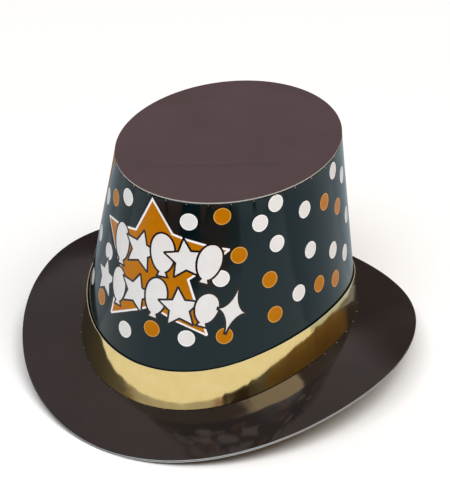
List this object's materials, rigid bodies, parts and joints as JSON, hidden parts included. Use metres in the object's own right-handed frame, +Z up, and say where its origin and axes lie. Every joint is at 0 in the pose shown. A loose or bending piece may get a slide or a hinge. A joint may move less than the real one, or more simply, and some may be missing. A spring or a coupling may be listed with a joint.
{
  "type": "party top hat",
  "caption": "Folded card top hat for a party, with a dotted and starred crown, a foil hatband and a brim that droops front and back.",
  "frame": {"origin": "on the surface that the hat stands on, under the middle of the brim", "axes": "+Z up, +Y towards the back of the hat (its front faces -Y), +X across the head"},
  "size_m": [0.2546, 0.2844, 0.1522],
  "materials": {
    "printed_board": "gloss-coated black board printed with white and gold dots",
    "top_board": "satin-coated black-brown board",
    "brim_board": "gloss-coated black-brown board",
    "gold_foil": "bright gold foil laminated on card",
    "glue": "dried clear-to-amber hot-melt glue"
  },
  "bodies": {
    "root": {"crown_side": "printed_board", "crown_top": "top_board", "brim_upper": "brim_board", "brim_lower": "brim_board", "hatband": "gold_foil", "brim_ply_glue": "glue", "brim_tab_glue": "glue", "crown_seam_glue": "glue", "crown_top_glue": "glue", "hatband_glue": "glue", "hatband_seam_glue": "glue"}
  },
  "joints": []
}
